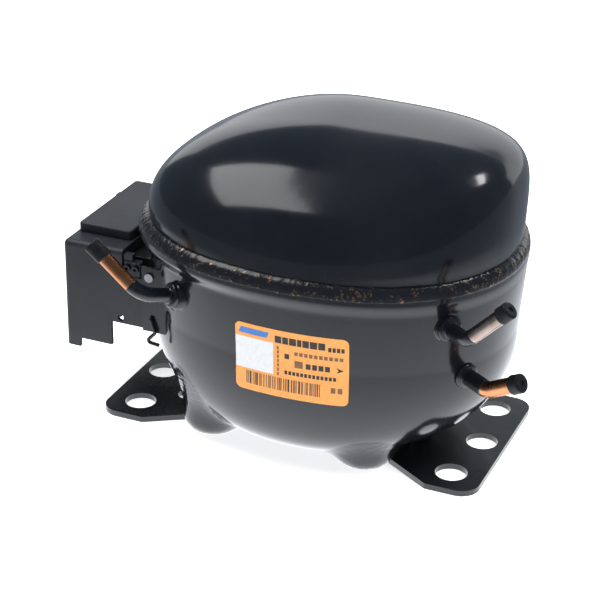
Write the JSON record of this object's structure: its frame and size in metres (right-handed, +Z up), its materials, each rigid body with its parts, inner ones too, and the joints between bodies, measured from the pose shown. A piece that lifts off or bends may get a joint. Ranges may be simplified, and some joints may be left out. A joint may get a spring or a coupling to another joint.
{
  "type": "hermetic reciprocating compressor",
  "caption": "Sealed motor and piston pump in a welded oval steel shell on two foot plates, with tube stubs and a side electrical box.",
  "frame": {"origin": "centre of the 170 by 70 mm foot hole pattern, on the underside of the foot plates", "axes": "+X along the shell towards the suction and process tubes, +Y to the back, away from the label, +Z up"},
  "size_m": [0.251, 0.1626, 0.1589],
  "materials": {
    "black_enamel": "gloss baked black enamel",
    "weld_metal": "gloss black enamel over a rough weld",
    "plate_enamel": "satin black enamel over pressed steel",
    "copper_tube": "drawn copper, black enamel near the shell",
    "stopper_rubber": "soft black rubber",
    "label_film": "printed orange film with plain blocks",
    "box_plastic": "fine-textured black moulding",
    "bare_steel": "zinc plated or bare steel",
    "spring_steel": "oiled spring steel",
    "lamination": "stacked electrical steel",
    "enamelled_wire": "varnished copper windings",
    "cast_grey_iron": "machined grey iron",
    "cast_aluminium": "cast aluminium",
    "bronze": "bearing bronze",
    "moulded_polymer": "heat resistant polymer",
    "ceramic_case": "starter and protector cases",
    "wire_insulation": "wire insulation",
    "gasket_sheet": "pressed gasket sheet"
  },
  "bodies": {
    "shell": {"upper_shell": "black_enamel", "lower_shell": "black_enamel", "weld_bead": "weld_metal", "foot_plate_left": "plate_enamel", "foot_plate_right": "plate_enamel", "foot_welds": "weld_metal", "rating_label": "label_film", "discharge_tube": "copper_tube", "discharge_boss": "black_enamel", "process_tube": "copper_tube", "process_boss": "black_enamel", "suction_tube": "copper_tube", "suction_boss": "black_enamel", "terminal_body": "bare_steel", "terminal_pins": "bare_steel", "terminal_fence": "plate_enamel", "box_housing": "box_plastic", "ptc_starter": "ceramic_case", "overload_protector": "ceramic_case", "cable_clamp": "box_plastic", "clamp_screws": "bare_steel", "clip_bracket": "plate_enamel", "earth_screw": "bare_steel", "inner_connector": "moulded_polymer", "lead_wires": "wire_insulation", "shock_loop_tube": "bare_steel", "suspension_springs": "spring_steel", "spring_seats": "moulded_polymer"},
    "pump": {"stator_stack": "lamination", "stator_winding": "enamelled_wire", "stator_bolts": "bare_steel", "crankcase": "cast_grey_iron", "main_bearing_bush": "bronze", "suction_leaf": "spring_steel", "valve_plate": "bare_steel", "reed_stop": "bare_steel", "head_gasket": "gasket_sheet", "cylinder_head": "cast_aluminium", "head_bolts": "bare_steel", "suction_muffler": "moulded_polymer", "discharge_muffler_cover": "bare_steel", "spring_caps": "moulded_polymer"},
    "crank": {"crankshaft": "cast_grey_iron", "rotor_core": "lamination", "rotor_cage": "cast_aluminium", "counterweight": "bare_steel", "oil_pickup_tube": "bare_steel"},
    "slider": {"slider_block": "bronze"},
    "plug": {"oil_way_plug": "bronze"},
    "piston_and_yoke": {"piston": "cast_grey_iron", "yoke_tube": "bare_steel", "yoke_end_plugs": "bare_steel"},
    "intake_reed": {"suction_reed": "spring_steel"},
    "outlet_reed": {"discharge_reed": "spring_steel"},
    "lid": {"box_lid": "box_plastic"},
    "clip": {"wire_clip": "spring_steel"},
    "discharge_stopper": {"discharge_rubber_cap": "stopper_rubber"},
    "process_stopper": {"process_rubber_cap": "stopper_rubber"},
    "suction_stopper": {"suction_rubber_cap": "stopper_rubber"}
  },
  "joints": [
    {"name": "pump_bounce", "type": "slide", "parent": "shell", "child": "pump", "axis": [0, 0, 1], "range_m": [-0.002, 0.002], "stiffness_N_per_m": 20000, "springref_m": 0.00251, "deforming": ["suspension_springs", "shock_loop_tube", "lead_wires"]},
    {"name": "crankshaft_spin", "type": "hinge", "parent": "pump", "child": "crank", "pos_m": [0.0055, 0, 0.1], "axis": [0, 0, 1], "continuous": true},
    {"name": "slider_turn", "type": "hinge", "parent": "crank", "child": "slider", "pos_m": [-0.0035, 0, 0.124], "axis": [0, 0, 1], "continuous": true},
    {"name": "plug_turn", "type": "hinge", "parent": "crank", "child": "plug", "pos_m": [0.001, 0, 0.13], "axis": [0, 0, 1], "continuous": true},
    {"name": "piston_stroke", "type": "hinge", "parent": "plug", "child": "piston_and_yoke", "pos_m": [-0.0035, 0, 0.124], "axis": [0, 0, 1], "continuous": true},
    {"name": "suction_reed_flex", "type": "hinge", "parent": "pump", "child": "intake_reed", "pos_m": [0.067, 0, 0.1123], "axis": [0, -1, 0], "range_deg": [0, 3.5], "stiffness_Nm_per_rad": 0.02},
    {"name": "discharge_reed_flex", "type": "hinge", "parent": "pump", "child": "outlet_reed", "pos_m": [0.0709, 0.0075, 0.114], "axis": [0, 1, 0], "range_deg": [0, 4], "stiffness_Nm_per_rad": 0.02},
    {"name": "lid_swing", "type": "hinge", "parent": "shell", "child": "lid", "pos_m": [-0.0942, 0.0095, 0.0885], "axis": [0, 1, 0], "range_deg": [0, 80]},
    {"name": "clip_swing", "type": "hinge", "parent": "shell", "child": "clip", "pos_m": [-0.0686, -0.0534, 0.0626], "axis": [0, 1, 0], "range_deg": [0, 70]},
    {"name": "discharge_stopper_pull", "type": "slide", "parent": "shell", "child": "discharge_stopper", "axis": [-0.7363, -0.0524, 0.6747], "range_m": [0, 0.012]},
    {"name": "process_stopper_pull", "type": "slide", "parent": "shell", "child": "process_stopper", "axis": [0.6922, -0.0789, 0.7173], "range_m": [0, 0.012]},
    {"name": "suction_stopper_pull", "type": "slide", "parent": "shell", "child": "suction_stopper", "axis": [0.8415, -0.2247, 0.4913], "range_m": [0, 0.012]}
  ],
  "couplings": [
    {"joint": "slider_turn", "follows": "crankshaft_spin", "ratio": -1},
    {"joint": "plug_turn", "follows": "crankshaft_spin", "ratio": -2},
    {"joint": "piston_stroke", "follows": "crankshaft_spin", "ratio": 1}
  ]
}
